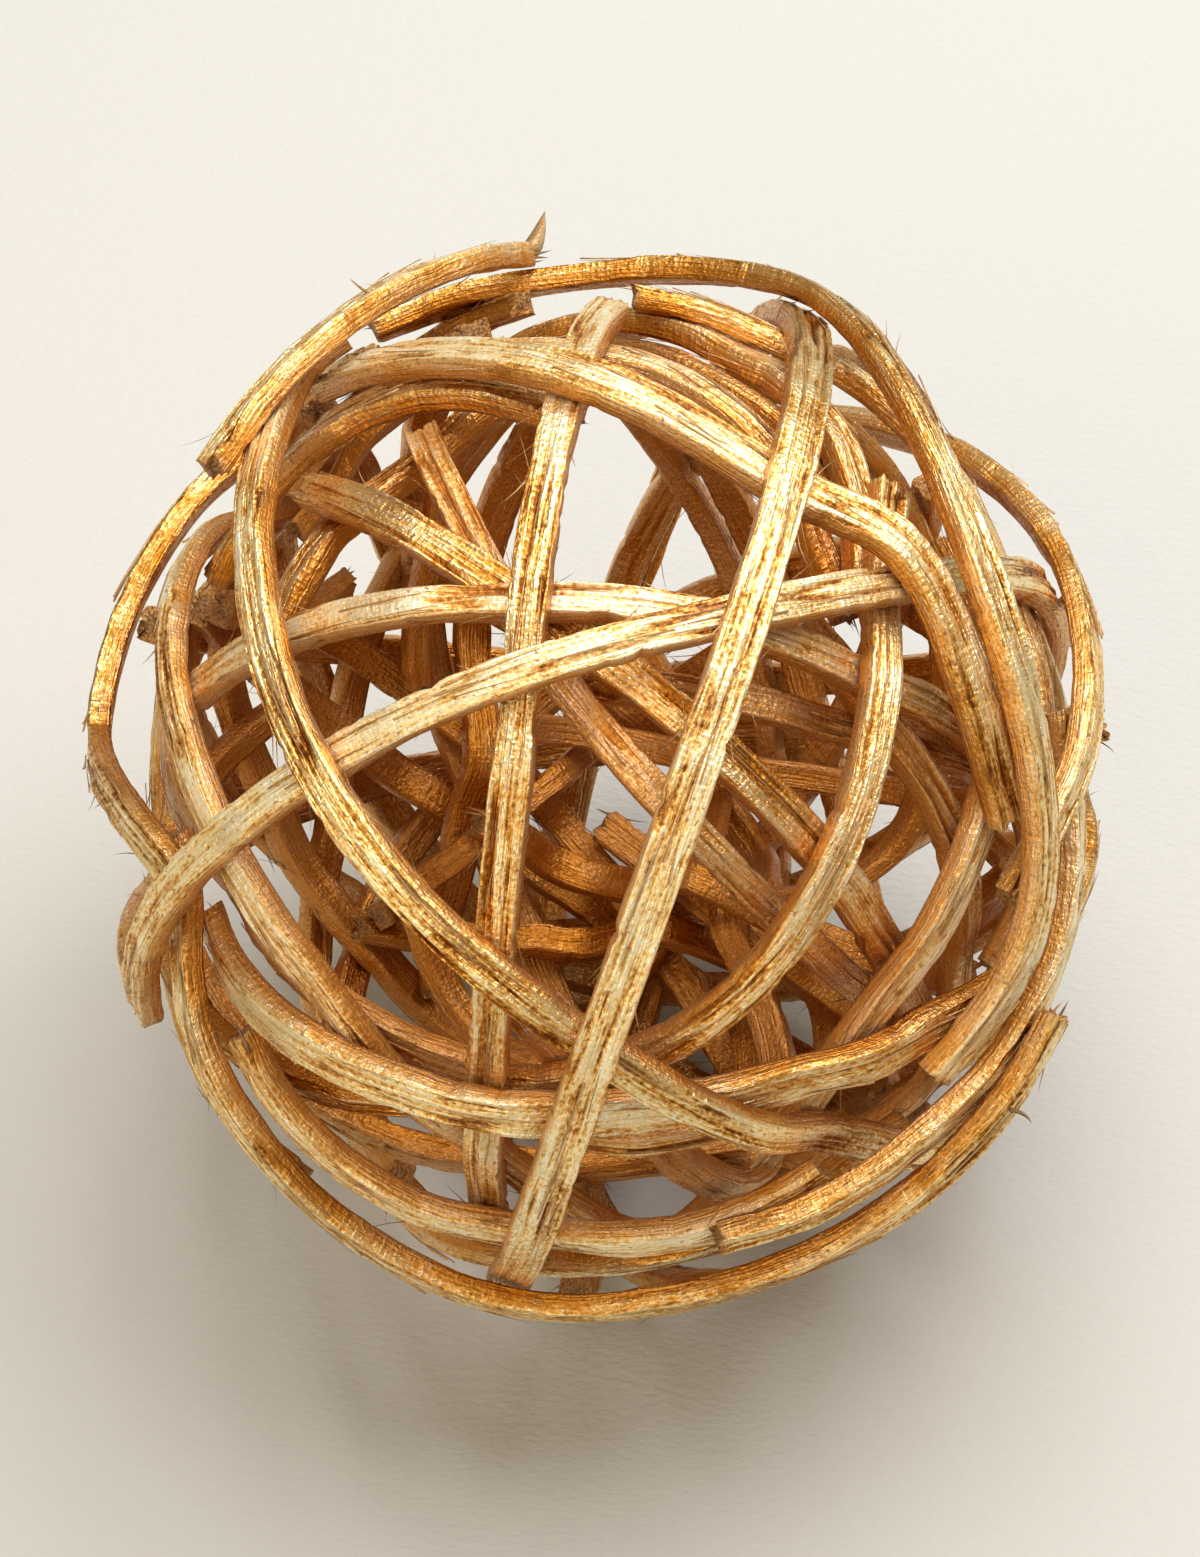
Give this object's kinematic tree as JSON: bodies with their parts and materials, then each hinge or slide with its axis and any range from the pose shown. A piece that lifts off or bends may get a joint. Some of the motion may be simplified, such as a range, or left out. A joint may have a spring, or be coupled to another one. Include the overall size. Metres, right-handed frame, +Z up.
{
  "type": "decorative sphere",
  "caption": "Openwork decorative sphere wound from flat strips of split vine painted gold, hollow, with a small flat to rest on.",
  "frame": {"origin": "on the surface the ball rests on, under the middle of its bounding box", "axes": "+Z up, out of the worn flat; -Y towards the side with the long diagonal strip; +X to that side's right"},
  "size_m": [0.0798, 0.0824, 0.0791],
  "materials": {
    "gold_painted_vine": "flat strips of split vine under thin metallic gold paint, satin, worn brown in the grain and at the edges"
  },
  "bodies": {
    "root": {"front_diagonal_strand": "gold_painted_vine", "upper_front_strand": "gold_painted_vine", "left_front_strand": "gold_painted_vine", "rising_front_strand": "gold_painted_vine", "front_upright_strand": "gold_painted_vine", "level_front_strand": "gold_painted_vine", "falling_front_strand": "gold_painted_vine", "lower_front_strand": "gold_painted_vine", "right_front_strand": "gold_painted_vine", "top_front_strand": "gold_painted_vine", "top_rim_strand": "gold_painted_vine", "upper_left_rim_strand": "gold_painted_vine", "left_rim_strand": "gold_painted_vine", "lower_rim_strand": "gold_painted_vine", "base_rim_strand": "gold_painted_vine", "base_inner_strand": "gold_painted_vine", "left_side_strand": "gold_painted_vine", "left_tucked_strand": "gold_painted_vine", "upper_right_rim_strand": "gold_painted_vine", "right_rim_strand": "gold_painted_vine", "lower_right_rim_strand": "gold_painted_vine", "second_top_strand": "gold_painted_vine", "third_top_strand": "gold_painted_vine", "upper_left_strand": "gold_painted_vine", "left_rising_strand": "gold_painted_vine", "inner_slanting_strand": "gold_painted_vine", "right_level_strand": "gold_painted_vine", "right_inner_strand": "gold_painted_vine", "lower_right_strand": "gold_painted_vine", "low_left_strand": "gold_painted_vine", "low_left_second_strand": "gold_painted_vine", "low_slanting_strand": "gold_painted_vine", "far_long_strand": "gold_painted_vine", "far_falling_strand": "gold_painted_vine", "far_rising_strand": "gold_painted_vine", "far_right_strand": "gold_painted_vine", "far_left_strand": "gold_painted_vine", "far_low_left_strand": "gold_painted_vine", "far_upright_strand": "gold_painted_vine", "far_second_upright_strand": "gold_painted_vine", "back_level_strand": "gold_painted_vine", "back_leaning_strand": "gold_painted_vine", "back_steep_strand": "gold_painted_vine", "back_crossing_strand": "gold_painted_vine", "under_left_strand": "gold_painted_vine", "under_left_second_strand": "gold_painted_vine", "under_long_strand": "gold_painted_vine", "back_high_strand": "gold_painted_vine", "back_wide_strand": "gold_painted_vine", "right_side_strand": "gold_painted_vine", "right_side_second_strand": "gold_painted_vine", "under_right_strand": "gold_painted_vine", "under_front_strand": "gold_painted_vine", "under_round_strand": "gold_painted_vine"}
  },
  "joints": []
}
